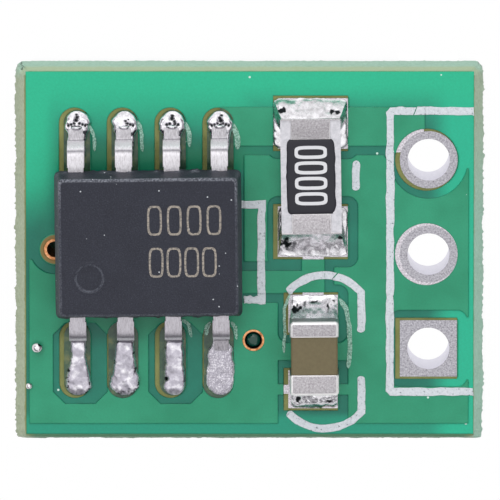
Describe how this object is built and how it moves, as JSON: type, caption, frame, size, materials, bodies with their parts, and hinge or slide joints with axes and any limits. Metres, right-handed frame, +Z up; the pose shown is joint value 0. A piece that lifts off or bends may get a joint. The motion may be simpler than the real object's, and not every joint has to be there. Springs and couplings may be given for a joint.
{
  "type": "lithium battery charger module",
  "caption": "Small green charging circuit board with a gull-wing chip, a sense resistor, a ceramic capacitor and a row of plated wire holes.",
  "frame": {"origin": "centre of the board's underside", "axes": "+X along the board towards the wire holes, +Y towards the chip's back row of leads, +Z up through the board to the component side"},
  "size_m": [0.0124, 0.01, 0.0032],
  "materials": {
    "glass_epoxy": "satin",
    "green_mask": "gloss",
    "white_ink": "matte",
    "copper_foil": "satin",
    "tinned_plating": "satin",
    "tinned_lead": "satin",
    "solder": "gloss",
    "black_epoxy": "matte",
    "lead_frame": "satin",
    "silicon": "gloss",
    "bond_wire": "satin",
    "white_ceramic": "matte",
    "resistive_film": "matte",
    "black_glaze": "satin",
    "tinned_terminal": "satin",
    "brown_ceramic": "satin"
  },
  "bodies": {
    "root": {"barrel_1": "tinned_plating", "barrel_2": "tinned_plating", "barrel_3": "tinned_plating", "board_laminate": "glass_epoxy", "bottom_ground_copper": "copper_foil", "bottom_input_copper": "copper_foil", "capacitor_ceramic": "brown_ceramic", "capacitor_solder_back": "solder", "capacitor_solder_front": "solder", "capacitor_terminal_back": "tinned_terminal", "capacitor_terminal_front": "tinned_terminal", "chip_bond_wires": "bond_wire", "chip_die": "silicon", "chip_die_paddle": "lead_frame", "chip_lead_1": "tinned_lead", "chip_lead_2": "tinned_lead", "chip_lead_3": "tinned_lead", "chip_lead_4": "tinned_lead", "chip_lead_5": "tinned_lead", "chip_lead_6": "tinned_lead", "chip_lead_7": "tinned_lead", "chip_lead_8": "tinned_lead", "chip_loose_pads": "copper_foil", "chip_moulding": "black_epoxy", "chip_solder_1": "solder", "chip_solder_2": "solder", "chip_solder_3": "solder", "chip_solder_4": "solder", "chip_solder_5": "solder", "chip_solder_6": "solder", "chip_solder_7": "solder", "chip_solder_8": "solder", "ground_via": "copper_foil", "ground_via_plug": "green_mask", "ink_capacitor_back": "white_ink", "ink_capacitor_front": "white_ink", "ink_chip_bracket": "white_ink", "ink_header_outline": "white_ink", "ink_resistor_bar": "white_ink", "input_via": "copper_foil", "resistor_ceramic": "white_ceramic", "resistor_coat": "black_glaze", "resistor_film": "resistive_film", "resistor_solder_back": "solder", "resistor_solder_front": "solder", "resistor_terminal_back": "tinned_terminal", "resistor_terminal_front": "tinned_terminal", "solder_beads": "solder", "solder_mask_bottom": "green_mask", "solder_mask_top": "green_mask", "top_chip_copper": "copper_foil", "top_ground_copper": "copper_foil", "top_input_copper": "copper_foil", "top_supply_copper": "copper_foil"}
  },
  "joints": []
}
